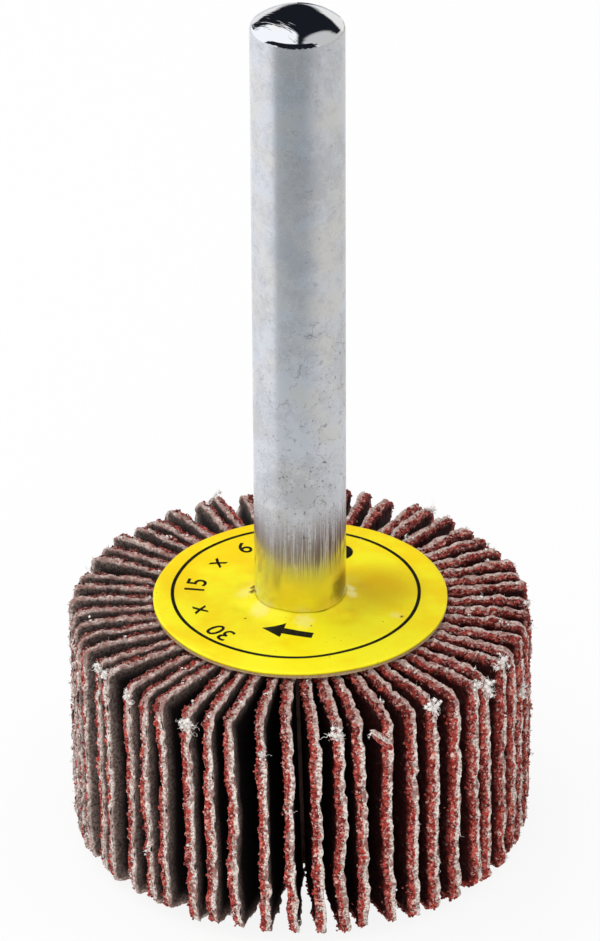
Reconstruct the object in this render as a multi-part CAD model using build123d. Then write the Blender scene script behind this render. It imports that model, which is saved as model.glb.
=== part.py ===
import os
from math import degrees, pi, sin

from build123d import *

# A flap wheel on a spindle. Abrasive cloth flaps stand on edge round a cast resin core, and
# a steel spindle is cast into the core and leaves it at the top. A card washer and a paper
# label lie on the core. The origin is the centre of the face that the wheel stands on, and
# +Z runs up the spindle. All sizes are in millimetres.

# Driving sizes
wheel_diameter = 30.0
shank_diameter = 6.0

# Flaps: pieces of coated cloth, packed root to root and held by the resin
flap_count = 56
flap_height = 16.1
flap_thickness = 0.7
flap_root_gap = 0.11
flap_root_depth = 1.1
flap_corner_radius = 0.5
flap_first_angle = -87.2

# No two flaps stand alike. The rim of a flap moves sideways by up to the first size as the
# flap leans and by up to the second as it bows, and all of them are a little out of upright.
flap_lean_at_rim = 0.28
flap_bow_at_rim = 0.16
flap_tilt_angle = 1.5

# Resin core
core_recess = 1.2
core_over_flaps = 0.25
collar_wall = 1.4

# Card washer
washer_overhang = 1.3
washer_thickness = 0.25
washer_hole_gap = 0.05

# Paper label, turned up where it meets the shank
label_margin = 0.05
label_thickness = 0.12
label_rise = 0.46
label_hole_gap = 0.03

# Spindle
shank_exposed = 41.0
dome_height = 1.1
dome_edge_radius = 0.4
seat_step = 0.2
spindle_end_proud = 0.3
spindle_end_chamfer = 0.4
knurl_grooves = 18
knurl_depth = 0.22
knurl_margin = 1.8

# Radii from the axis outwards
shank_radius = shank_diameter / 2
seat_radius = shank_radius - seat_step
collar_radius = shank_radius + collar_wall
flap_root_radius = flap_count * (flap_thickness + flap_root_gap) / (2 * pi)
core_radius = flap_root_radius + flap_root_depth
washer_radius = core_radius + washer_overhang
wheel_radius = wheel_diameter / 2

# Heights from the face that the wheel stands on
core_bottom = core_recess
spindle_bottom = core_bottom - spindle_end_proud
core_top = flap_height + core_over_flaps
washer_top = core_top + washer_thickness
collar_top = washer_top + label_rise
label_crest = collar_top + label_thickness
dome_base = label_crest + shank_exposed
spindle_top = dome_base + dome_height


def turned(outline):
    """A solid of revolution round Z, from a closed outline in the XZ plane."""
    return revolve(make_face(outline), axis=Axis.Z)


def meniscus(height, inner_radius):
    """The curve by which resin and paper climb from the collar's edge to the shank."""
    return TangentArc(
        (collar_radius, 0, height),
        (inner_radius, 0, height + label_rise),
        tangent=(-1, 0, 0),
    )


def make_spindle():
    """Steel rod: a knurled seat for the resin, a plain shank and a domed free end."""
    outline = [
        Polyline(
            (0, 0, spindle_top),
            (0, 0, spindle_bottom),
            (seat_radius - spindle_end_chamfer, 0, spindle_bottom),
            (seat_radius, 0, spindle_bottom + spindle_end_chamfer),
            (seat_radius, 0, label_crest),
            (shank_radius, 0, label_crest),
            (shank_radius, 0, dome_base),
        ),
        TangentArc((0, 0, spindle_top), (shank_radius, 0, dome_base), tangent=(1, 0, 0)),
    ]
    rod = turned(outline)
    dome_edge = rod.edges().filter_by(lambda edge: edge.is_closed).sort_by(Axis.Z)[-1]
    rod = fillet(dome_edge, dome_edge_radius)

    # Straight knurl: V grooves round the seat, which the resin fills
    knurl_bottom = core_bottom + knurl_margin
    knurl_length = core_top - knurl_margin - knurl_bottom
    groove_outline = Polyline(
        (seat_radius - knurl_depth, 0),
        (seat_radius + knurl_depth, -2 * knurl_depth),
        (seat_radius + knurl_depth, 2 * knurl_depth),
        close=True,
    )
    groove = Pos(0, 0, knurl_bottom) * extrude(make_face(groove_outline), knurl_length)
    grooves = [Rot(0, 0, k * 360 / knurl_grooves) * groove for k in range(knurl_grooves)]
    return rod - grooves


def lean_share(number):
    """How far this flap leans, from -1 to 1, uneven from one flap to the next."""
    return 0.6 * sin(2.1 * number + 0.4) + 0.4 * sin(3.7 * number + 1.1)


def bow_share(number):
    """How far this flap bows, from -1 to 1, in slow waves round the wheel."""
    return 0.6 * sin(0.9 * number + 2.0) + 0.4 * sin(2.9 * number)


def make_flap(number):
    """One flap: a strip with a bowed section, as high as the wheel, its outer corners worn round."""
    length = wheel_radius - flap_root_radius
    half = flap_thickness / 2
    bow = flap_bow_at_rim * bow_share(number)
    middle_bow = bow / 4
    section = [
        ThreePointArc((0, half), (length / 2, half + middle_bow), (length, half + bow)),
        Line((length, half + bow), (length, -half + bow)),
        ThreePointArc((length, -half + bow), (length / 2, -half + middle_bow), (0, -half)),
        Line((0, -half), (0, half)),
    ]
    strip = extrude(make_face(section), flap_height)
    across = [edge for edge in strip.edges() if abs(edge.length - flap_thickness) < 0.01]
    outer = [edge for edge in across if edge.center().X > length / 2]
    flap = fillet(outer, flap_corner_radius)
    lean = degrees(flap_lean_at_rim * lean_share(number) / length)
    turn = flap_first_angle + number * 360 / flap_count
    middle = flap_height / 2
    tilted = Pos(0, 0, middle) * Rot(flap_tilt_angle, 0, 0) * Pos(0, 0, -middle) * flap
    return Rot(0, 0, turn) * Pos(flap_root_radius, 0, 0) * Rot(0, 0, lean) * tilted


def make_core(spindle, flaps):
    """Resin, cast round the spindle and between the roots of the flaps."""
    outline = [
        Polyline(
            (0, 0, collar_top),
            (0, 0, core_bottom),
            (core_radius, 0, core_bottom),
            (core_radius, 0, core_top),
            (collar_radius, 0, core_top),
            (collar_radius, 0, washer_top),
        ),
        meniscus(washer_top, shank_radius),
        Line((shank_radius, 0, collar_top), (0, 0, collar_top)),
    ]
    return turned(outline) - spindle - flaps


def make_washer():
    """Card washer on the core, round the collar."""
    ring = Circle(washer_radius) - Circle(collar_radius + washer_hole_gap)
    return Pos(0, 0, core_top) * extrude(ring, washer_thickness)


def make_label():
    """Paper label on the washer and the collar, its inner edge turned up along the shank."""
    outer_radius = washer_radius - label_margin
    inner_radius = shank_radius + label_hole_gap
    label_top = washer_top + label_thickness
    outline = [
        meniscus(washer_top, inner_radius),
        Line((inner_radius, 0, collar_top), (inner_radius, 0, label_crest)),
        meniscus(label_top, inner_radius),
        Polyline(
            (collar_radius, 0, label_top),
            (outer_radius, 0, label_top),
            (outer_radius, 0, washer_top),
            (collar_radius, 0, washer_top),
        ),
    ]
    return turned(outline)


spindle = make_spindle()
flaps = [make_flap(number) for number in range(flap_count)]
parts = {
    "spindle": spindle,
    "resin_core": make_core(spindle, flaps),
    "card_washer": make_washer(),
    "paper_label": make_label(),
}
parts.update({f"flap_{number + 1:02d}": flap for number, flap in enumerate(flaps)})

os.makedirs("parts", exist_ok=True)
for name, part in parts.items():
    export_step(part, f"parts/{name}.step")
    print(name, round(part.volume, 3))
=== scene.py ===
from itertools import product
from math import cos, pi, radians, sin

import bmesh
import bpy
import numpy as np
from mathutils import Matrix, Vector
from mathutils.geometry import delaunay_2d_cdt


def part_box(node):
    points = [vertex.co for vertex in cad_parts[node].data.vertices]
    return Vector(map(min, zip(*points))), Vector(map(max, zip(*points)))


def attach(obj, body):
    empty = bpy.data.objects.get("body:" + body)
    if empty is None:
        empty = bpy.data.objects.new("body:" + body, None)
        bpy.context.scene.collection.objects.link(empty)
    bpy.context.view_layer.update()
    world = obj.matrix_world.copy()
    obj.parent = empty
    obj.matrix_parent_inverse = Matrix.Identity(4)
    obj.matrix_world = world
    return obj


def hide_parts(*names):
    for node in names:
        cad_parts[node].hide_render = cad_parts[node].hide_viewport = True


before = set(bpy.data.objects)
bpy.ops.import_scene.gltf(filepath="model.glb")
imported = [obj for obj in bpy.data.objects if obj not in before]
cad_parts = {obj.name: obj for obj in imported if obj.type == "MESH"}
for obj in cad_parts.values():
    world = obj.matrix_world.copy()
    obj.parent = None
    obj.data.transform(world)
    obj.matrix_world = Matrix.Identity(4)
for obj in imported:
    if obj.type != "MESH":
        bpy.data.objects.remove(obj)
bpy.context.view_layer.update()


# Spindle
# A steel rod of 6 mm, drawn, ground and turned to a dome at its free end. Handling has left
# it dull and mottled, with small dents, and the dome keeps the shine of the turning tool.

MM = 0.001


def as_seen(red, green, blue):
    """A colour given by its screen values from 0 to 255, as Blender wants it."""
    shares = [value / 255 for value in (red, green, blue)]
    return tuple(s / 12.92 if s < 0.04 else ((s + 0.055) / 1.055) ** 2.4 for s in shares) + (1.0,)


class Shade:
    """A socket of a finish. Sums of shades add Math nodes, and node() makes any other node."""

    def __init__(self, tree, socket=None):
        self.tree = tree
        self.socket = socket

    def node(self, kind, settings, sockets, output=0):
        made = self.tree.nodes.new("ShaderNode" + kind)
        for name, setting in settings.items():
            if name == "stops":
                ramp = made.color_ramp
                while len(ramp.elements) < len(setting):
                    ramp.elements.new(0.5)
                for element, (position, colour) in zip(ramp.elements, setting):
                    element.position = position
                    element.color = colour
            else:
                setattr(made, name, setting)
        for name, value in sockets.items():
            if isinstance(value, Shade):
                self.tree.links.new(value.socket, made.inputs[name])
            else:
                made.inputs[name].default_value = value
        return Shade(self.tree, made.outputs[output] if made.outputs else None)

    def sum_of(self, operation, first, second):
        settings = {"operation": operation}
        return self.node("Math", settings, {0: first, 1: second})

    def __add__(self, other):
        return self.sum_of("ADD", self, other)

    def __sub__(self, other):
        return self.sum_of("SUBTRACT", self, other)

    def __rsub__(self, other):
        return self.sum_of("SUBTRACT", other, self)

    def __mul__(self, other):
        return self.sum_of("MULTIPLY", self, other)

    __radd__ = __add__
    __rmul__ = __mul__

    def above(self, low, high):
        """A mask that rises smoothly from 0 at low to 1 at high."""
        sockets = {"Value": self, "From Min": low, "From Max": high}
        return self.node("MapRange", {"interpolation_type": "SMOOTHSTEP"}, sockets)

    def blend(self, first, second):
        """The first colour where this mask is 0 and the second where it is 1."""
        return self.node("Mix", {"data_type": "RGBA"}, {0: self, 6: first, 7: second}, 2)

    def axis(self, name):
        """The X, Y or Z of this vector."""
        return self.node("SeparateXYZ", {}, {"Vector": self}, name)

    def measure(self, operation, other=(0, 0, 0)):
        """A number from this vector, such as its LENGTH or its DISTANCE from a point."""
        return self.node("VectorMath", {"operation": operation}, {0: self, 1: other}, "Value")


def new_finish(name):
    """A material without nodes, a shade to make them from, and a place in mm to hang them on."""
    material = bpy.data.materials.new(name)
    material.use_nodes = True
    material.node_tree.nodes.clear()
    shade = Shade(material.node_tree)
    place = shade.node("TexCoord", {}, {}, "Object")
    in_mm = shade.node("Mapping", {}, {"Vector": place, "Scale": (1 / MM, 1 / MM, 1 / MM)})
    return material, shade, in_mm


def surface(shade, sockets):
    """Ends a finish in its Principled shader."""
    shader = shade.node("BsdfPrincipled", {}, sockets)
    shade.node("OutputMaterial", {}, {"Surface": shader})


def noise_of(shade, place, size, detail=3.0, stretch=(1, 1, 1)):
    """Noise from 0 to 1 with features of about this size in mm, drawn out along an axis."""
    scale = tuple(1 / (size * longer) for longer in stretch)
    drawn = shade.node("Mapping", {}, {"Vector": place, "Scale": scale})
    return shade.node("TexNoise", {}, {"Vector": drawn, "Scale": 1.0, "Detail": detail})


steel, shade, place = new_finish("drawn_steel")
height = place.axis("Z")
from_right = place.axis("X")
dome_height = 1.18
dome_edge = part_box("spindle")[1].z / MM - dome_height
dome = height.above(dome_edge - 0.15, dome_edge)
shank = 1 - dome
foot = 1 - height.above(20, 28)
lower_part = 1 - height.above(32, 44)

# The shank is mottled all over, with dents and broken scratches low down and to the right

cloud = noise_of(shade, place, 4.0, 4.0)
blotch = noise_of(shade, place, 0.9, 5.0)
leather = noise_of(shade, place, 0.3, 3.0)
grind = noise_of(shade, place, 0.09, 2.0, stretch=(1, 1, 40))
stain = (0.5 * cloud + 0.3 * blotch + 0.2 * leather).above(0.42, 0.58)
warm = noise_of(shade, place, 2.6, 3.0).above(0.42, 0.62)
pitted = (0.7 * cloud + 0.3 * blotch + 0.08 * lower_part).above(0.46, 0.6)
dents = noise_of(shade, place, 0.2, 1.0).above(0.64, 0.74) * pitted
vein = noise_of(shade, place, 1.3, 2.0)
rubbed = height.above(24.4, 25.2) * (1 - height.above(26.2, 27.4))
broken = (noise_of(shade, place, 0.8, 2.0) + 0.1 * rubbed).above(0.54, 0.62)
scratches = vein.above(0.48, 0.497) * (1 - vein.above(0.503, 0.52)) * broken
marks = (0.8 * dents + 0.55 * scratches) * shank * (0.4 + 0.5 * lower_part) * height.above(20, 23)
marks = marks * (0.5 + 0.5 * from_right.above(-2.4, 0.8))

# Its foot has brown streaks, a painted yellow reflection of the label, and a darker patch on the
# right

streak = noise_of(shade, place, 0.085, 1.0, stretch=(1, 1, 40)).above(0.42, 0.56)
streaked = streak * (0.25 + 0.6 * from_right.above(-2.6, 2.4))
streaked = streaked * height.above(19.2, 21.2) * (1 - height.above(21.8, 25))
# Painted reflection of the yellow label, low on the foot except on its left
label_reflection = (1 - height.above(19, 21)) * from_right.above(-2.8, -0.6)
# A darker patch low on the right of the foot
dark_patch_centre = (2.75, -1.3, 18.3)
dark_patch = 1 - (place.measure("DISTANCE", dark_patch_centre) + 0.9 * leather).above(1.0, 1.9)

bright_steel = warm.blend(as_seen(232, 235, 240), as_seen(235, 234, 231))
dull_steel = (0.6 * stain * shank).blend(bright_steel, as_seen(206, 207, 210))
brushed_steel = streaked.blend(dull_steel, as_seen(112, 88, 80))
foot_steel = (0.6 * label_reflection).blend(brushed_steel, as_seen(242, 222, 120))
dark_patched_steel = (0.75 * dark_patch).blend(foot_steel, as_seen(112, 108, 92))
steel_colour = marks.blend(dark_patched_steel, as_seen(96, 94, 98))
steel_rough = 0.05 + shank * (0.17 + 0.06 * stain + 0.06 * leather - 0.07 * foot)

# The dome has rings from the turning tool, and on the left the strokes of a wipe across them

outward = shade.node("Mapping", {}, {"Vector": place, "Scale": (1, 1, 0)}).measure("LENGTH")
ring_place = shade.node("CombineXYZ", {}, {"X": 5 * outward, "Y": 0.35 * blotch})
turning = shade.node("TexNoise", {}, {"Vector": ring_place, "Scale": 1.0, "Detail": 3.0})
across_strokes = place.measure("DOT_PRODUCT", (3.1, 3.8, 0))
along_strokes = place.measure("DOT_PRODUCT", (0.55, -0.45, 0))
stroke_place = shade.node("CombineXYZ", {}, {"X": across_strokes, "Y": along_strokes})
wipe = shade.node("TexNoise", {}, {"Vector": stroke_place, "Scale": 1.0, "Detail": 2.0})
wipe = wipe.above(0.5, 0.62) * (1 - (from_right + 0.8 * cloud).above(-0.2, 0.9)) * dome

shank_relief = shank * ((0.3 + 1.2 * foot) * grind + 0.8 * leather - dents)
steel_normal = shade.node("Bump", {}, {
    "Strength": 0.25,
    "Distance": 0.01 * MM,
    "Height": shank_relief + 1.2 * (dome * turning) + 1.5 * wipe,
})
surface(shade, {
    "Base Color": steel_colour,
    "Metallic": 1.0,
    "Roughness": steel_rough,
    "Normal": steel_normal,
})


def dress(node, finish):
    """Gives a CAD node its finish."""
    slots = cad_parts[node].data.materials
    slots.clear()
    slots.append(finish)


dress("spindle", steel)


# Resin core
# Dark brown resin, cast round the spindle and the roots of the flaps. It shows only from
# below and deep between the flaps, with the small pits of a casting.

resin, shade, place = new_finish("cast_resin")
cloud = noise_of(shade, place, 1.6)
bubble = noise_of(shade, place, 0.35, 2.0).above(0.62, 0.7)
resin_colour = cloud.above(0.3, 0.7).blend(as_seen(66, 36, 22), as_seen(98, 56, 34))
resin_normal = shade.node("Bump", {}, {
    "Strength": 0.5,
    "Distance": 0.08 * MM,
    "Height": cloud - bubble,
})
surface(shade, {
    "Base Color": resin_colour,
    "Roughness": 0.42 + 0.2 * bubble,
    "Normal": resin_normal,
})
dress("resin_core", resin)


# Flaps
# Pieces of cotton cloth with brown-red aluminium oxide grain on the leading face, stood on
# edge with their roots in the resin. Their free edges are cut rough: the grain is chipped
# there, and white threads stand out of the cloth.

flap_nodes = sorted(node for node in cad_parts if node.startswith("flap_"))
flap_thickness = 0.7
root_gap = 0.11
root_radius = len(flap_nodes) * (flap_thickness + root_gap) / (2 * pi)
wheel_radius = 15.0
flap_length = wheel_radius - root_radius
first_angle = -87.2
lean_at_rim = 0.28
bow_at_rim = 0.16
tilt_angle = radians(1.5)
flap_low, flap_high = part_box(flap_nodes[0])
tilted_height = (flap_high.z - flap_low.z) / MM
flap_height = (tilted_height - flap_thickness * sin(tilt_angle)) / cos(tilt_angle)


def lean_share(number):
    """How far this flap leans, from -1 to 1, as in the frame."""
    return 0.6 * sin(2.1 * number + 0.4) + 0.4 * sin(3.7 * number + 1.1)


def bow_share(number):
    """How far this flap bows, from -1 to 1, as in the frame."""
    return 0.6 * sin(0.9 * number + 2.0) + 0.4 * sin(2.9 * number)


def stand_flap(number, along, height, across):
    """Moves points of a flap, given along it, up it and across it in mm, to their place in m."""
    across = across + bow_at_rim * bow_share(number) * (along / flap_length) ** 2
    up = height - flap_height / 2
    side = across * cos(tilt_angle) - up * sin(tilt_angle)
    z = across * sin(tilt_angle) + up * cos(tilt_angle) + flap_height / 2
    lean = lean_at_rim * lean_share(number) / flap_length
    x = root_radius + along * cos(lean) - side * sin(lean)
    y = along * sin(lean) + side * cos(lean)
    turn = radians(first_angle) + 2 * pi * number / len(flap_nodes)
    return np.stack([x * cos(turn) - y * sin(turn), x * sin(turn) + y * cos(turn), z], axis=1) * MM


def lattice(cells, seed):
    """A number from 0 to 1 for each whole cell, as if at random, and the same in every run."""
    first, second, third = cells.T
    mixed = first * 73856093 ^ second * 19349663 ^ third * 83492791 ^ seed * 26544357
    mixed = (mixed ^ (mixed >> 13)) * 1274126177
    return ((mixed ^ (mixed >> 16)) & 65535) / 65535


def rough(size, seed, *axes):
    """Smooth noise from -1 to 1 with features of this size, over up to three axes in mm."""
    points = np.zeros((len(axes[0]), 3))
    for column, axis in enumerate(axes):
        points[:, column] = axis / size
    low = np.floor(points).astype(np.int64)
    part = points - low
    part = part * part * (3 - 2 * part)
    total = np.zeros(len(points))
    for corner in product((0, 1), repeat=3):
        share = np.where(corner, part, 1 - part).prod(axis=1)
        total += share * lattice(low + np.array(corner), seed)
    return 2 * total - 1


# One flap laid flat: rows of points run round its free edge, close together at the edge and
# further apart inwards, and triangles join them.

corner_radius = 0.5
finest_step = 0.13
step_growth = 1.3
row_share = 0.85
root_strip = 0.2


def free_edge(inset, step):
    """Points along the free edge, moved in by inset, each with the direction that looks out."""
    turn = corner_radius - inset
    if turn < step:
        turn = 0.0
    reach = flap_length - inset - turn
    low = inset + turn
    high = flap_height - low
    points = []

    def leg(start, end, out):
        count = max(round((Vector(end) - Vector(start)).length / step), 1)
        for k in range(count):
            points.append((*Vector(start).lerp(Vector(end), k / count), *out))

    def bend(centre_height, start_angle):
        count = round(turn * pi / 2 / step)
        for k in range(count):
            angle = start_angle + pi / 2 * k / count
            out = (cos(angle), sin(angle))
            points.append((reach + turn * out[0], centre_height + turn * out[1], *out))

    leg((0, inset), (reach, inset), (0, -1))
    bend(low, -pi / 2)
    leg((flap_length - inset, low), (flap_length - inset, high), (1, 0))
    bend(high, 0)
    leg((reach, flap_height - inset), (0, flap_height - inset), (0, 1))
    points.append((0, flap_height - inset, 0, 1))
    return [(*point, inset) for point in points]


rows = [free_edge(0, finest_step)]
edge_count = len(rows[0])
inset, step = 0, finest_step
while inset + row_share * step < flap_length - root_strip:
    inset += row_share * step
    step *= step_growth
    rows.append(free_edge(inset, step))
flat = np.array([point for row in rows for point in row], dtype=float)
flat_faces = delaunay_2d_cdt([Vector(point[:2]) for point in flat], [], [], 0, 1e-6)[2]
flat_faces = np.array(flat_faces)
root_points = [k for k in range(edge_count, len(flat)) if flat[k, 0] == 0]
root_points.sort(key=lambda k: -flat[k, 1])
rim_loop = np.array(list(range(edge_count)) + root_points)

# The flap's body: its grain face, rows of points across its thickness, and its cloth face

edge_levels = (0.15, 0.32, 0.48, 0.64, 0.82)
count = len(flat)
ring = len(rim_loop)
source = np.concatenate([np.arange(count)] + [rim_loop] * len(edge_levels) + [np.arange(count)])
edge_layers = [np.full(ring, level) for level in edge_levels]
layer = np.concatenate([np.zeros(count)] + edge_layers + [np.ones(count)])
starts = [count + k * ring for k in range(len(edge_levels))]
cloth_start = count + len(edge_levels) * ring
levels = [rim_loop] + [start + np.arange(ring) for start in starts] + [cloth_start + rim_loop]
body_faces = [flat_faces, flat_faces[:, ::-1] + cloth_start]
for lower, upper in zip(levels, levels[1:]):
    next_lower, next_upper = np.roll(lower, -1), np.roll(upper, -1)
    body_faces.append(np.stack([lower, upper, next_upper], axis=1))
    body_faces.append(np.stack([lower, next_upper, next_lower], axis=1))
body_faces = np.concatenate(body_faces)
body_smooth = np.zeros(len(body_faces), dtype=bool)
body_smooth[len(flat_faces):2 * len(flat_faces)] = True

# Where threads and loose grains sit: on the cut edge of the cloth, and on the cut edge of the
# grain and the face beside it

frayed = np.concatenate([start + np.arange(edge_count) for start in starts[2:]])
frayed = frayed[flat[source[frayed], 1] > 0.5]
chipped = np.concatenate([start + np.arange(edge_count) for start in starts[:3]])
beside_edge = np.flatnonzero(flat[:, 4] < 1.5)
beside_share = np.exp(-flat[beside_edge, 4] / 0.5)
beside_share /= beside_share.sum()

# Each part of a flap is a tuple of its points and faces, its layer from 0 in the grain to 1 on
# the cloth, its inset from the free edge in mm, its tint or mark, and whether it is smooth

no_mark = -1.0
thread_mark = 2.0
thread_layer = 1.3
thread_radius = 0.02


def unit(vectors):
    """The same directions, each of length 1."""
    return vectors / np.linalg.norm(vectors, axis=1, keepdims=True)


def frames_along(rng, axes):
    """Two directions square to each axis."""
    first = unit(np.cross(axes, rng.normal(0, 1, axes.shape)))
    return first, np.cross(axes, first)


def threads(rng, roots, out, length, bends, spread, wander):
    """Points and faces of loose threads: three-sided tubes that wander off from their roots."""
    count = len(roots)
    heading = unit(out + rng.normal(0, spread, (count, 3)))
    first, second = frames_along(rng, heading)
    step = length * rng.uniform(0.6, 1.4, (count, 1)) / bends
    middle = roots - 0.3 * step * heading
    rings = []
    for k in range(bends + 1):
        radius = thread_radius * (1.3 - 0.7 * k / bends)
        for side in range(3):
            angle = 2 * pi * side / 3
            rings.append(middle + radius * (first * cos(angle) + second * sin(angle)))
        heading = unit(heading + rng.normal(0, wander, (count, 3)))
        middle = middle + step * heading
    points = np.stack(rings, axis=1).reshape(-1, 3)
    tube = []
    for k in range(bends):
        for side in range(3):
            a, b = 3 * k + side, 3 * k + (side + 1) % 3
            tube += [(a, b, b + 3), (a, b + 3, a + 3)]
    last = 3 * bends
    tube += [(2, 1, 0), (last, last + 1, last + 2)]
    faces = np.array(tube)[None] + 3 * (bends + 1) * np.arange(count)[:, None, None]
    return points, faces.reshape(-1, 3)


# Grains: octahedra with uneven corners

grain_corners = np.array([(1, 0, 0), (-1, 0, 0), (0, 1, 0), (0, -1, 0), (0, 0, 1), (0, 0, -1)])
grain_faces = np.array([
    (0, 2, 4), (2, 1, 4), (1, 3, 4), (3, 0, 4),
    (2, 0, 5), (1, 2, 5), (3, 1, 5), (0, 3, 5),
])


def grains_at(rng, centres, smallest=0.07, largest=0.14):
    """Points and faces of grains of mixed sizes, turned at random."""
    count = len(centres)
    reach = rng.uniform(0.6, 1.3, (count, 6, 1)) * rng.uniform(smallest, largest, (count, 1, 1))
    axis = unit(rng.normal(0, 1, (count, 3)))
    first, second = frames_along(rng, axis)
    turned = np.stack([first, second, axis], axis=1)
    points = centres[:, None] + (grain_corners * reach) @ turned
    faces = grain_faces + 6 * np.arange(count)[:, None, None]
    return points.reshape(-1, 3), faces.reshape(-1, 3)


def tuft(rng, seat, size, lump_count, thread_count):
    """Cotton teased out of the cloth: soft lumps with short fibres, and a few long ones."""
    out = np.array((0.7, 0.2, rng.uniform(-0.8, 0.8)))
    lumps = seat + 0.1 * size * out + rng.normal(0, 0.22, (lump_count, 3)) * size * (0.8, 1.3, 1)
    soft = grains_at(rng, lumps, 0.1 * size + 0.02, 0.18 * size + 0.03)
    parts = [(*soft, thread_layer, 0.0, thread_mark, True)]
    for share, length, bends in ((0.93, 0.45, 5), (0.07, 1.3, 9)):
        roots = lumps[rng.integers(lump_count, size=max(round(share * thread_count), 1))]
        ways = np.repeat([out], len(roots), axis=0)
        fibres = threads(rng, roots, ways, length * size, bends, spread=1.0, wander=0.8)
        parts.append((*fibres, thread_layer, 0.0, thread_mark, True))
    return parts


# Wear of the body, in mm. The cut is ragged at three scales, each given by how far it moves the
# edge, the size of its notches, and how much they change from the grain to the cloth

back_growth = 0.45
rim_thinning = 0.15
corner_wear = 0.3
ragged_cuts = ((0.08, 0.9, 1.4), (0.15, 0.45, 1.1), (0.05, 0.22, 0.8))


def worn_body(rng, number):
    """Points of a flap's body, in mm along it, up it and across it, and the inset of each."""
    along, height, out_along, out_up, inset = flat[source].T
    at_edge = np.exp(-inset / 0.3)
    seed = 10 * number

    # Free edges: longer at the back, corners worn round, grain chipped back, cloth proud
    at_back = max(sin(radians(first_angle) + 2 * pi * number / len(flap_nodes)), 0)
    longer = rng.uniform(0.0, 0.1) + rng.uniform(0.1, back_growth) * at_back
    along = along + longer * (along / flap_length).clip(0, 1) ** 2
    slim = 1 - rim_thinning * ((along - 1.2) / 1.8).clip(0, 1)
    for corner_height, inward in ((0, 1), (flap_height, -1)):
        from_corner = np.hypot(along - flap_length, height - corner_height)
        wear = rng.uniform(0.0, corner_wear) * np.exp(-(from_corner**2))
        along = along - 0.7 * wear
        height = height + 0.7 * inward * wear
        slim = slim - 0.4 * wear
    ragged = np.zeros(len(along))
    for scale, (depth, size, change) in enumerate(ragged_cuts, 1):
        ragged += depth * rough(size, seed + scale, along, height, layer * change)
    ragged += rng.uniform(-0.03, 0.03, len(along)) - 0.04 + 0.1 * layer
    shift = ragged * at_edge
    along = along + shift * out_along
    height = height + shift * out_up

    # Faces: thinner towards the rim, with grain that stands out, woven cloth and a slow wave
    swell = 1 + 0.12 * layer * np.exp(-inset / 0.25)
    across = flap_thickness * (layer - 0.5) * slim * swell
    bumps = 0.13 * rough(0.55, seed + 4, along, height, layer * 0.5)
    across = across + bumps * np.exp(-inset / 0.5)
    grain = 0.05 * rough(0.24, seed + 5, along, height) + rng.uniform(-0.03, 0.03, len(along))
    across = across - (1 - layer) * grain * np.exp(-inset / 2.5)
    weave = 0.04 * rough(0.3, seed + 6, along, height, layer)
    weave += 0.02 * rng.uniform(-1, 1, len(along))
    across = across + layer * weave * np.exp(-inset / 1.0)
    sway = 0.16 * rough(4.5, seed + 7, height) + 0.08 * rough(1.7, seed + 8, height, along)
    across = across + sway * (along / flap_length).clip(0, 1) ** 1.5
    return np.stack([along, height, across], axis=1), inset


# Loose grains on the cut edge and on the face beside it, and on one flap a red lump of them

edge_grains = 150
face_grains = 130
loose_inset = 0.1
lump_flap = 50
lump_tint = 0.7


def loose_grains(rng, number, body):
    """The loose grains of a flap, as one part."""
    on_edge = rng.choice(chipped, edge_grains)
    on_face = rng.choice(beside_edge, face_grains, p=beside_share)
    seats = np.concatenate([on_edge, on_face])
    centres = body[seats] + rng.normal(0, 0.03, (len(seats), 3))
    tints = rng.uniform(0, 1, len(seats))
    if number == lump_flap:
        lump = np.array((flap_length, flap_height - 0.5, -0.2)) + rng.normal(0, 0.15, (16, 3))
        centres = np.concatenate([centres, lump])
        tints = np.concatenate([tints, np.full(len(lump), lump_tint)])
    return (*grains_at(rng, centres), 0.0, loose_inset, np.repeat(tints, 6), False)


# Loose cotton: ends of yarn along the cut edge of the cloth, tufts, on one flap a torn sliver, and
# on some a wad on the rim, given by how far it is below the top and its size

yarn_spacing = 0.62
edge_threads = 190
tufts = 6
torn_flap = 3
wads = {
    1: (0.8, 0.9), 5: (0.3, 0.9), 8: (0.8, 1.0), 9: (0.2, 0.9), 7: (0.1, 0.6), 46: (0.3, 0.7),
    47: (0.2, 0.5), 48: (0.7, 0.6), 51: (0.9, 0.9), 14: (0.3, 0.5), 22: (0.5, 0.7), 31: (0.2, 0.6),
    38: (1.2, 0.7), 54: (2.2, 0.5), 11: (4.0, 0.7),
}


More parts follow.
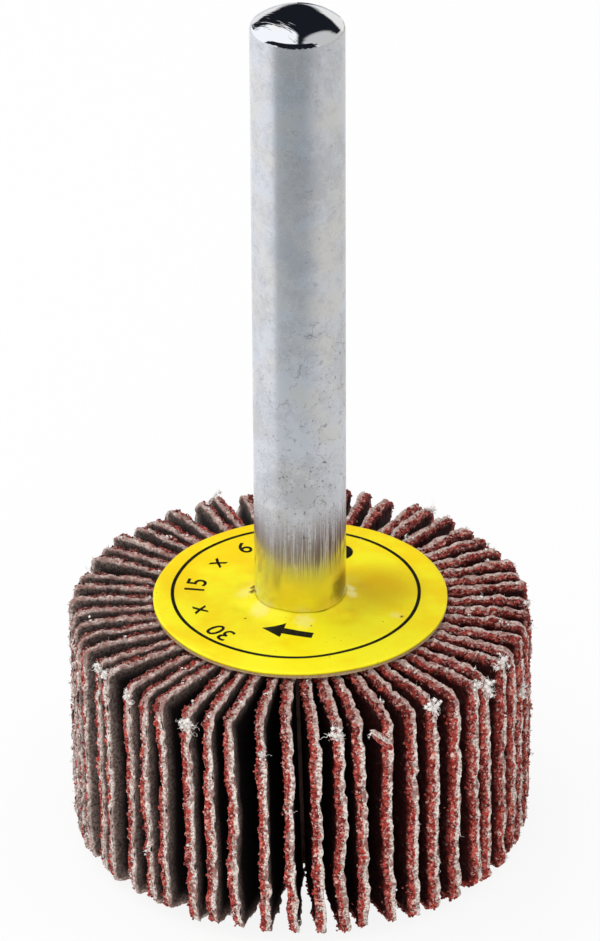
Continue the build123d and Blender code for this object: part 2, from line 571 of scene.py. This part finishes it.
def torn_sliver(rng):
    """A sliver torn loose below the top of the rim: cloth above, grain below, a tuft on its tip."""
    rings, corners = 8, 10
    length, breadth = 1.7, 0.62
    start = np.array((flap_length - 0.2, flap_height - 2.1, 0.25))
    way = np.array((0.1, 0.55, -0.8))
    curl = np.array((0.1, 0.25, 0))
    angles = 2 * pi * np.arange(corners) / corners
    points, layers = [], []
    for k in range(rings):
        share = k / (rings - 1)
        middle = start + length * (way * share + curl * share**2)
        thin = (1 - 0.4 * share**2) * (1 if k < rings - 1 else 0.5)
        uneven = 1 + rng.uniform(-0.18, 0.18, corners)
        points.append(np.stack([
            middle[0] + breadth * thin * uneven * np.cos(angles),
            middle[1] + 0.8 * breadth * thin * uneven * np.sin(angles),
            np.full(corners, middle[2]) + rng.uniform(-0.05, 0.05, corners),
        ], axis=1))
        layers.append(np.where(np.sin(angles) > 0, 1.0, 0.0))
    faces = []
    for k in range(rings - 1):
        for corner in range(corners):
            a, b = k * corners + corner, k * corners + (corner + 1) % corners
            faces += [(a, b + corners, b), (a, a + corners, b + corners)]
    tip = (rings - 1) * corners
    for corner in range(1, corners - 1):
        faces += [(0, corner, corner + 1), (tip, tip + corner + 1, tip + corner)]
    cotton = tuft(rng, points[-1].mean(axis=0), size=0.35, lump_count=5, thread_count=20)
    points, layers = np.concatenate(points), np.concatenate(layers)
    return [(points, np.array(faces), layers, loose_inset / 2, no_mark, False)] + cotton


def loose_cotton(rng, number, body):
    """The ends of yarn, the tufts and the wad of a flap, as a list of parts."""
    yarns = rng.integers(edge_count * finest_step / yarn_spacing, size=edge_threads) + 0.5
    yarn_points = yarns * yarn_spacing / finest_step + rng.normal(0, 0.5, edge_threads)
    roots = rng.choice(starts[3:], edge_threads) + yarn_points.astype(int).clip(0, edge_count - 1)
    roots = roots[flat[source[roots], 1] > 0.5]
    lean_out = 0.4 * rng.normal(0, 1, len(roots)) + 0.4
    out = np.stack([flat[source[roots], 2], flat[source[roots], 3], lean_out], axis=1)
    yarn_ends = threads(rng, body[roots], out, length=0.18, bends=3, spread=0.45, wander=0.7)
    parts = [(*yarn_ends, thread_layer, 0.0, no_mark, True)]
    for k in range(tufts):
        seat = body[rng.choice(frayed)]
        parts += tuft(rng, seat, rng.uniform(0.2, 0.5), lump_count=3, thread_count=16)
    if number in wads:
        below_top, size = wads[number]
        along, height, across = body[frayed].T
        away = np.hypot(height - flap_height + below_top, along - flap_length)
        seat = body[frayed[np.argmin(away)]]
        parts += tuft(rng, seat, size, lump_count=20, thread_count=100)
    return parts


def make_flap(number, node):
    """One flap with all its parts in one mesh, marked so that its finish tells them apart."""
    rng = np.random.default_rng(1000 + number)
    body, inset = worn_body(rng, number)
    parts = [(body, body_faces, layer, inset, no_mark, body_smooth)]
    parts.append(loose_grains(rng, number, body))
    if number == torn_flap:
        parts += torn_sliver(rng)
    parts += loose_cotton(rng, number, body)

    points = np.concatenate([part[0] for part in parts])
    offsets = np.cumsum([0] + [len(part[0]) for part in parts[:-1]])
    faces = np.concatenate([part[1] + offset for part, offset in zip(parts, offsets)])
    mesh = bpy.data.meshes.new(node)
    placed = stand_flap(number, points[:, 0], points[:, 1], points[:, 2])
    mesh.from_pydata(placed.tolist(), [], faces.tolist())
    smooth = np.concatenate([np.broadcast_to(part[5], len(part[1])) for part in parts])
    mesh.polygons.foreach_set("use_smooth", smooth)
    for name, column in (("layer", 2), ("inset", 3), ("tint", 4)):
        values = np.concatenate([np.broadcast_to(part[column], len(part[0])) for part in parts])
        marks = mesh.attributes.new(name, "FLOAT", "POINT")
        marks.data.foreach_set("value", values.astype(np.float32))
    mesh.materials.append(coated_cloth)
    piece = bpy.data.objects.new("cloth_" + node, mesh)
    bpy.context.scene.collection.objects.link(piece)
    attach(piece, "root")
    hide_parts(node)


coated_cloth, shade, place = new_finish("coated_cloth")
layer_mark = shade.node("Attribute", {"attribute_name": "layer"}, {}, "Fac")
inset_mark = shade.node("Attribute", {"attribute_name": "inset"}, {}, "Fac")
tint_mark = shade.node("Attribute", {"attribute_name": "tint"}, {}, "Fac")
wobble = noise_of(shade, place, 0.35, 2.0)
speck = noise_of(shade, place, 0.17, 2.0)
drift = noise_of(shade, place, 1.8, 3.0)
near_edge = 1 - inset_mark.above(0.02, 0.4)
on_top = place.axis("Z").above(14.8, 16)
# How deep a point lies between the flaps, counted deeper on top; it sets the painted shade and the
# matt grain below
depth = inset_mark + 0.22 * on_top
from_right = place.axis("X")
on_left = 1 - from_right.above(-15, -6)
to_left = 1 - from_right.above(-12, 0)

# Grain: each one its own red, paler where its edge is dusty, browner on top to the left, and
# darkened to almost black deep between the flaps as painted shade

grain_size = 0.22
cells = {"Vector": place, "Scale": 1 / grain_size}
cell_colour = shade.node("TexVoronoi", {}, cells, "Color")
cell_pick = shade.node("SeparateColor", {}, {"Color": cell_colour})
cell_shape = shade.node("TexVoronoi", {}, cells, "Distance")
is_grain = tint_mark.above(-0.6, -0.4)
grain_pick = cell_pick * (1 - is_grain) + tint_mark * is_grain
grain_red = shade.node("ValToRGB", {"stops": (
    (0.0, as_seen(92, 20, 17)),
    (0.35, as_seen(142, 38, 32)),
    (0.7, as_seen(192, 66, 54)),
    (0.92, as_seen(208, 104, 88)),
    (1.0, as_seen(238, 204, 190)),
)}, {"Fac": grain_pick})
# Browner on top to the left
browner_left_grain = (0.6 * on_left * on_top).blend(grain_red, as_seen(74, 40, 34))
dust = speck.above(0.56, 0.66) * 0.7 * near_edge
dusty_grain = dust.blend(browner_left_grain, as_seen(230, 200, 188))
# Painted shade: the grain turns almost black deep between the flaps
grain_colour = (0.95 * depth.above(0.0, 0.6)).blend(dusty_grain, as_seen(34, 6, 6))

# Cloth: white where it is cut, soiled pink by the grain in places, grey-brown behind, and darkened
# deep between the flaps as painted shade

cut_white = speck.above(0.36, 0.56).blend(as_seen(176, 150, 138), as_seen(242, 233, 224))
soiled = (0.6 * wobble + 0.4 * drift + 0.04 * to_left).above(0.5, 0.6)
soiled = soiled * (1 - 0.5 * on_left * (1 - on_top))
soil = 0.8 * soiled + 0.42 * on_top * (1 - soiled)
cut_cloth = soil.blend(cut_white, as_seen(146, 92, 84))
back_cloth = speck.above(0.3, 0.7).blend(as_seen(92, 76, 70), as_seen(164, 145, 136))
# Painted shade: the cloth darkens towards black deep between the flaps
cloth_with_painted_shade = depth.above(-0.15, 1.15).blend(back_cloth, as_seen(20, 14, 13))
whitened = (near_edge + wobble - 0.5).above(0.45, 0.95)
cloth_colour = whitened.blend(cloth_with_painted_shade, cut_cloth)

is_cloth = (layer_mark + 0.9 * wobble + 0.9 * drift + 0.14 * to_left - 0.9).above(0.5, 0.6)
is_thread = tint_mark.above(1.4, 1.6)
flap_colour = is_cloth.blend(grain_colour, cloth_colour)
flap_relief = (1 - is_cloth) * (1 - cell_shape) + is_cloth * (wobble + speck)
flap_normal = shade.node("Bump", {}, {
    "Strength": 0.5,
    "Distance": 0.07 * MM,
    "Height": flap_relief * (1 - is_thread),
})
matt_grain = depth.above(0.2, 0.6)
surface(shade, {
    "Base Color": is_thread.blend(flap_colour, as_seen(253, 248, 243)),
    "Roughness": 0.5 + 0.4 * ((1 - is_cloth) * matt_grain + is_cloth * is_cloth),
    "Specular IOR Level": 0.3,
    "Normal": flap_normal,
})

for number, node in enumerate(flap_nodes):
    make_flap(number, node)


# Card washer
# A ring punched from tan board. Only its cut edge shows, under the label, with its fibres.

card, shade, place = new_finish("tan_board")
fibre = noise_of(shade, place, 0.16, 3.0, stretch=(1, 1, 0.4))
board_colour = fibre.above(0.3, 0.7).blend(as_seen(166, 138, 96), as_seen(216, 190, 146))
board_normal = shade.node("Bump", {}, {"Strength": 0.6, "Distance": 0.05 * MM, "Height": fibre})
surface(shade, {"Base Color": board_colour, "Roughness": 0.85, "Normal": board_normal})
dress("card_washer", card)


# Paper label
# Coated yellow paper glued to the washer. It is a little cockled, and its inner edge is
# pushed up along the shank.

label_low, label_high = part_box("paper_label")
label_radius = label_high.x / MM
label_bottom = label_low.z / MM
paper_thickness = 0.12
lip_height = label_high.z / MM - label_bottom - paper_thickness
lip_inner = 2.995
lip_outer = 4.4
rim_start = label_radius - 0.1
rim_reach = 0.08
rim_drop = 0.08
lip_curve = 0.65


def paper_top(x, y):
    """Height of the label's upper face over a point, in mm."""
    radius = np.hypot(x, y)
    angle = np.arctan2(y, x)
    inward = ((lip_outer - radius) / (lip_outer - lip_inner)).clip(0, 1)
    crumple = 0.16 * rough(1.3, 21, 3 * np.cos(angle), 3 * np.sin(angle), radius / 2)
    dents = 0.1 * rough(0.8, 24, x, y) * np.exp(-(((radius - 3.9) / 0.7) ** 2))
    cockle = 0.05 + 0.06 * rough(2.9, 22, x, y)
    past_rim = ((radius - rim_start) / (label_radius + rim_reach - rim_start)).clip(0, 1)
    climb = (1 - np.sqrt(1 - lip_curve * inward**2)) / (1 - np.sqrt(1 - lip_curve))
    lip = (lip_height + crumple) * climb
    raised = (cockle + dents).clip(0, 1) + lip.clip(0, 1) - rim_drop * past_rim**2
    return label_bottom + paper_thickness + raised


spokes = 192
circles = np.concatenate([
    np.linspace(label_radius + rim_reach, rim_start, 5),
    np.linspace(rim_start, lip_outer, 21)[1:],
    np.linspace(lip_outer, lip_inner, 12)[1:],
])
angles = 2 * pi * np.arange(spokes) / spokes
sheet_points = []
for thickness, radii in ((0.0, circles), (paper_thickness, circles[::-1])):
    for radius in radii:
        uneven = 0.02 * rough(2.5, 23, 9 * np.cos(angles), 9 * np.sin(angles))
        radius = radius + uneven * (radius > label_radius)
        x, y = radius * np.cos(angles), radius * np.sin(angles)
        sheet_points.append(np.stack([x, y, paper_top(x, y) - thickness], axis=1))
sheet_faces = []
for row in range(len(sheet_points)):
    following = (row + 1) % len(sheet_points)
    for k in range(spokes):
        beside = (k + 1) % spokes
        sheet_faces.append((
            row * spokes + k,
            row * spokes + beside,
            following * spokes + beside,
            following * spokes + k,
        ))


def add_piece(name, points, faces, finish, smooth=True):
    """A mesh piece from points in mm."""
    mesh = bpy.data.meshes.new(name)
    mesh.from_pydata((np.array(points) * MM).tolist(), [], faces)
    mesh.polygons.foreach_set("use_smooth", [smooth] * len(faces))
    mesh.materials.append(finish)
    piece = bpy.data.objects.new(name, mesh)
    bpy.context.scene.collection.objects.link(piece)
    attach(piece, "root")
    return piece


paper, shade, place = new_finish("yellow_paper")
tone = noise_of(shade, place, 2.6, 4.0)
speckle = noise_of(shade, place, 0.3, 2.0)
grime = noise_of(shade, place, 0.22, 1.0).above(0.76, 0.8) * tone.above(0.45, 0.6)
from_front = place.axis("Y")
# Yellow that varies at random, and paler towards the front as a painted sheen
tone_and_front_sheen = (tone - 0.016 * from_front).above(0.3, 0.7)
yellow = tone_and_front_sheen.blend(as_seen(253, 218, 0), as_seen(255, 243, 26))


def spot(centre, size):
    """A ragged patch of about this size round a point of the label, both in mm."""
    away = place.measure("DISTANCE", centre)
    return 1 - (away * (1 / size) + 1.2 * speckle).above(0.9, 1.7)


# Paper: painted highlights where it turns up, dirt specks, painted shade in a notch, and a painted
# shank shadow

# Painted highlights where the paper turns up by the shank and on a crease
pale = (
    spot((3.3, 0.4, 17.2), 0.5)
    + spot((3.35, -0.3, 17.1), 0.5)
    + 0.6 * spot((0.2, -3.6, 17), 0.8)
    + 0.6 * spot((-2.6, -2.1, 17), 0.9)
    + 0.5 * spot((-3.6, 0, 17), 0.8)
    + 0.5 * spot((6.2, -2.6, 16.7), 0.5)
)
# Dirt specks, and painted shade in a notch of the lip left of the shank
dirt_and_notch_shade = (
    grime
    + spot((-3.1, 0.35, 17.2), 0.3)
    + spot((-3.15, -0.15, 17.2), 0.3)
    + spot((6.6, -2.8, 16.75), 0.17)
    + spot((-3.6, -2.9, 16.75), 0.1)
    + spot((0.7, -4, 16.9), 0.1)
)
# Painted shadow of the shank on the paper to its right
from_shank_shadow = place.measure("DISTANCE", (5.3, 0.8, 16.8))
shank_shadow = 1 - (from_shank_shadow + 0.5 * speckle).above(0.9, 4.3)
shadowed_yellow = (0.65 * shank_shadow).blend(yellow, as_seen(208, 164, 0))
highlighted_paper = (0.6 * pale).blend(shadowed_yellow, as_seen(255, 250, 170))
paper_colour = dirt_and_notch_shade.blend(highlighted_paper, as_seen(130, 98, 24))
paper_normal = shade.node("Bump", {}, {
    "Strength": 0.25,
    "Distance": 0.03 * MM,
    "Height": speckle,
})
surface(shade, {
    "Base Color": paper_colour,
    "Roughness": 0.36 + 0.14 * speckle,
    "Specular IOR Level": 0.28,
    "Normal": paper_normal,
})
label = add_piece("cockled_label", np.concatenate(sheet_points), sheet_faces, paper)
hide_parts("paper_label")


# Print on the label
# Black ink: a thin ring a little off centre, an arrow for the way the wheel turns, a plain
# dot, and the wheel's sizes as plain numbers along an arc.

ink, shade, place = new_finish("black_ink")
wear = noise_of(shade, place, 0.4, 3.0)
ink_colour = wear.above(0.4, 0.8).blend(as_seen(12, 11, 9), as_seen(44, 40, 28))
surface(shade, {
    "Base Color": ink_colour,
    "Roughness": 0.45 + 0.2 * wear,
    "Specular IOR Level": 0.25,
})

ink_thickness = 0.02
ink_sink = 0.006


def print_shape(name, outline_mesh, cuts):
    """Lays a flat shape, in mm, on the paper as a thin closed skin of ink."""
    bmesh.ops.triangulate(outline_mesh, faces=outline_mesh.faces[:])
    edges = outline_mesh.edges[:]
    bmesh.ops.subdivide_edges(outline_mesh, edges=edges, cuts=cuts, use_grid_fill=True)
    lower = outline_mesh.faces[:]
    grown = bmesh.ops.extrude_face_region(outline_mesh, geom=lower)
    top = {item for item in grown["geom"] if isinstance(item, bmesh.types.BMVert)}
    for vertex in outline_mesh.verts:
        x, y = vertex.co.x, vertex.co.y
        lift = ink_thickness if vertex in top else -ink_sink
        vertex.co.z = float(paper_top(np.array([x]), np.array([y]))[0]) + lift
    bmesh.ops.recalc_face_normals(outline_mesh, faces=outline_mesh.faces[:])
    points = [tuple(vertex.co) for vertex in outline_mesh.verts]
    outline_mesh.verts.index_update()
    faces = [[vertex.index for vertex in face.verts] for face in outline_mesh.faces]
    outline_mesh.free()
    piece = add_piece(name, points, faces, ink, smooth=False)
    return piece


ring_radius = 8.09
ring_width = 0.22
ring_centre = (-0.3, 0.35)
ring_steps = 240
ring_mesh = bmesh.new()
ring_edges = []
for radius in (ring_radius - ring_width / 2, ring_radius + ring_width / 2):
    ring_edges.append([
        ring_mesh.verts.new((
            ring_centre[0] + radius * cos(2 * pi * k / ring_steps),
            ring_centre[1] + radius * sin(2 * pi * k / ring_steps),
            0,
        ))
        for k in range(ring_steps)
    ])
for k in range(ring_steps):
    beside = (k + 1) % ring_steps
    inner, outer = ring_edges
    ring_mesh.faces.new((inner[k], outer[k], outer[beside], inner[beside]))
print_shape("ring_line", ring_mesh, 0)

arrow_tip = Vector((-2.49, -4.14))
arrow_tail = Vector((0.78, -5.08))
head_length = 1.4
head_width = 1.55
shaft_width = 0.6
arrow_way = (arrow_tip - arrow_tail).normalized()
arrow_side = Vector((-arrow_way.y, arrow_way.x))
neck = arrow_tip - arrow_way * head_length
arrow_points = [
    arrow_tip,
    neck + arrow_side * head_width / 2,
    neck + arrow_side * shaft_width / 2,
    arrow_tail + arrow_side * shaft_width / 2,
    arrow_tail - arrow_side * shaft_width / 2,
    neck - arrow_side * shaft_width / 2,
    neck - arrow_side * head_width / 2,
]
arrow_mesh = bmesh.new()
arrow_mesh.faces.new([arrow_mesh.verts.new((*point, 0)) for point in arrow_points])
arrow = print_shape("turning_arrow", arrow_mesh, 3)

# The steel right behind the arrow doesn't mirror it

arrow.visible_glossy = False
arrow.visible_shadow = False
arrow.visible_diffuse = False

dot_centre = (2.5, 5.35)
dot_radius = 1.0
dot_steps = 40
dot_mesh = bmesh.new()
dot_mesh.faces.new([
    dot_mesh.verts.new((
        dot_centre[0] + dot_radius * cos(2 * pi * k / dot_steps),
        dot_centre[1] + dot_radius * sin(2 * pi * k / dot_steps),
        0,
    ))
    for k in range(dot_steps)
])
print_shape("dot", dot_mesh, 1)

number_texts = ("30", "x", "15", "x", "6")
number_angles = (222, 195, 170, 143, 122)
number_size = 1.9
number_radius = 6.35
number_weight = 0.008
for text, angle in zip(number_texts, number_angles):
    curve = bpy.data.curves.new("number", "FONT")
    curve.body = text
    curve.size = number_size
    curve.align_x = "CENTER"
    curve.offset = number_weight
    curve.resolution_u = 4
    letters = bpy.data.objects.new("number", curve)
    letter_mesh = letters.to_mesh()
    bent = bmesh.new()
    bent.from_mesh(letter_mesh)
    letters.to_mesh_clear()
    bpy.data.objects.remove(letters)
    for vertex in bent.verts:
        turn = radians(angle) - vertex.co.x / (number_radius + number_size / 3)
        radius = number_radius + vertex.co.y
        vertex.co = (radius * cos(turn), radius * sin(turn), 0)
    bmesh.ops.remove_doubles(bent, verts=bent.verts[:], dist=0.0005)
    print_shape("number_" + str(angle), bent, 0)


# Floor
# A pale sweep under and behind the wheel. To the camera it is close to white, and it keeps
# a soft shadow of the wheel.

floor_half = 600 * MM
floor_drop = 0.42 * MM
floor_glow = 0.88
floor_mesh = bpy.data.meshes.new("floor")
floor_corners = ((-1, -1), (1, -1), (1, 1), (-1, 1))
floor_points = [(x * floor_half, y * floor_half, -floor_drop) for x, y in floor_corners]
floor_mesh.from_pydata(floor_points, [], [(0, 1, 2, 3)])
floor_finish, shade, place = new_finish("pale_floor")
rays = shade.node("LightPath", {}, {}, "Is Camera Ray")
matt = shade.node("BsdfDiffuse", {}, {"Color": as_seen(242, 242, 242)})
glow = shade.node("Emission", {}, {"Color": (1, 1, 1, 1), "Strength": 1.0})
seen = shade.node("MixShader", {}, {0: rays * floor_glow, 1: matt, 2: glow})
shade.node("OutputMaterial", {}, {"Surface": seen})
floor_mesh.materials.append(floor_finish)
floor = bpy.data.objects.new("floor", floor_mesh)
bpy.context.scene.collection.objects.link(floor)

# A card lies round the wheel, and shows only in the steel, as the darker side of the room: grey
# to the right, darker in front the further it is away, and a black gap straight behind

card_near = 27 * MM
card_far = 590 * MM
card_lift = 0.02 * MM
card_from = -150
card_to = 188
card_steps = 80
rim_points = []
for k in range(card_steps + 1):
    turn = radians(card_from + (card_to - card_from) * k / card_steps)
    for reach in (card_near, card_far):
        rim_points.append((reach * sin(turn), -reach * cos(turn), card_lift))
card_faces = [(2 * k, 2 * k + 1, 2 * k + 3, 2 * k + 2) for k in range(card_steps)]
card_mesh = bpy.data.meshes.new("reflected_card")
card_mesh.from_pydata(rim_points, [], card_faces)
card_finish, shade, place = new_finish("reflected_card")
azimuth = shade.sum_of("ARCTAN2", place.axis("X"), -1 * place.axis("Y"))
reach = place.measure("LENGTH")
in_front = azimuth.above(radians(-64), radians(-52)) * (1 - azimuth.above(radians(10), radians(62)))
to_right = azimuth.above(radians(10), radians(40)) * (1 - azimuth.above(radians(150), radians(176)))
straight_behind = azimuth.above(radians(174), radians(178)) * reach.above(85, 110)
front_grey = reach.above(30, 95).blend(as_seen(212, 214, 216), as_seen(154, 160, 165))
side_tone = to_right.blend(as_seen(226, 227, 230), as_seen(209, 209, 209))
card_colour = straight_behind.blend(in_front.blend(side_tone, front_grey), as_seen(12, 12, 14))
surface(shade, {"Base Color": card_colour, "Roughness": 0.9})
card_mesh.materials.append(card_finish)
reflected_card = bpy.data.objects.new("reflected_card", card_mesh)
reflected_card.visible_camera = False
reflected_card.visible_diffuse = False
reflected_card.visible_shadow = False
bpy.context.scene.collection.objects.link(reflected_card)


# Light
# Two large soft boxes side by side overhead, the left one brighter, and a wide low one in
# front. Polished steel sees a white wall on the left, a grey one on the right, a white backdrop
# low down and the dark of the room elsewhere.

darkness = (0.01, 0.012, 0.018, 1)
backdrop_white = (0.9, 0.9, 0.92, 1)
wall_grey = (0.62, 0.62, 0.62, 1)
wall_white = (1.1, 1.1, 1.12, 1)
fill_grey = (0.5, 0.5, 0.51, 1)
white = (1, 1, 1, 1)

world = bpy.data.worlds.new("studio")
bpy.context.scene.world = world
world.use_nodes = True
world.node_tree.nodes.clear()
shade = Shade(world.node_tree)
camera_rays = shade.node("LightPath", {}, {}, "Is Camera Ray")
glossy_rays = shade.node("LightPath", {}, {}, "Is Glossy Ray")
look = shade.node("TexCoord", {}, {}, "Generated")
to_right = look.axis("X")
behind = look.axis("Y")
rise = look.axis("Z")
sideways = shade.node("Math", {"operation": "ABSOLUTE"}, {0: to_right})
left_wall = (-1.05 * to_right - behind).above(-0.17, -0.09) * behind.above(-0.18, -0.1)
left_wall = left_wall * (1 - to_right.above(-0.04, 0.04))
right_wall = (1.2 * to_right - behind).above(0.17, 0.29)
right_wall = right_wall * (0.84 * to_right + behind).above(-0.04, 0.06)
backdrop = 1 - (rise - 0.2 * to_right).above(0.25, 0.33)
backdrop = backdrop * (1 - (rise - 1.7 * sideways).above(-0.22, -0.02))
backdrop = backdrop * (behind + 0.9 * sideways).above(-0.15, 0.0)
mirrored = backdrop.blend(darkness, backdrop_white)
mirrored = right_wall.blend(mirrored, wall_grey)
mirrored = left_wall.blend(mirrored, wall_white)
fill = glossy_rays.blend(fill_grey, mirrored)
room = camera_rays.blend(fill, white)
background = shade.node("Background", {}, {"Color": room, "Strength": 1.0})
shade.node("OutputWorld", {}, {"Surface": background})


def soft_box(name, centre, width, depth, brightness, facing=(0, 0, 1)):
    """A rectangular lamp, sized and placed in metres, whose face has this brightness."""
    lamp = bpy.data.lights.new(name, "AREA")
    lamp.shape = "RECTANGLE"
    lamp.size = width
    lamp.size_y = depth
    lamp.energy = brightness * pi * width * depth
    box = bpy.data.objects.new(name, lamp)
    box.location = centre
    box.rotation_mode = "QUATERNION"
    box.rotation_quaternion = Vector(facing).to_track_quat("Z", "Y")
    box.visible_glossy = False
    bpy.context.scene.collection.objects.link(box)


front_place = (-0.12, -0.6, 0.2)
soft_box("left_box", (-0.25, 0.09, 0.36), width=0.48, depth=0.34, brightness=2.1)
soft_box("right_box", (0.27, 0.06, 0.36), width=0.48, depth=0.28, brightness=0.9)
soft_box("front_box", front_place, width=0.9, depth=0.3, brightness=2.0, facing=front_place)


# Camera
# The photograph's view: from in front and above, through a long lens, and turned by a third of
# a degree. It looks at the shank a little above the label.

camera_elevation = radians(30.27)
camera_distance = 400 * MM
camera_target = Vector((0.02 * MM, 0, 26.19 * MM))
camera_roll = -0.0055
photo_height_px = 941
focal_length_px = 6180
sensor_mm = 36

back = Vector((0, -cos(camera_elevation), sin(camera_elevation)))
right = Vector((1, 0, 0))
up = back.cross(right)
tilted_right = right * cos(camera_roll) + up * sin(camera_roll)
tilted_up = up * cos(camera_roll) - right * sin(camera_roll)
camera_data = bpy.data.cameras.new("camera")
camera_data.sensor_width = sensor_mm
camera_data.lens = focal_length_px * sensor_mm / photo_height_px
camera_data.clip_start = 0.01
camera_data.clip_end = 10
camera = bpy.data.objects.new("camera", camera_data)
turned = Matrix((tilted_right, tilted_up, back)).transposed().to_4x4()
camera.matrix_world = Matrix.Translation(camera_target + back * camera_distance) @ turned
bpy.context.scene.collection.objects.link(camera)
bpy.context.scene.camera = camera
bpy.context.scene.view_settings.view_transform = "Standard"
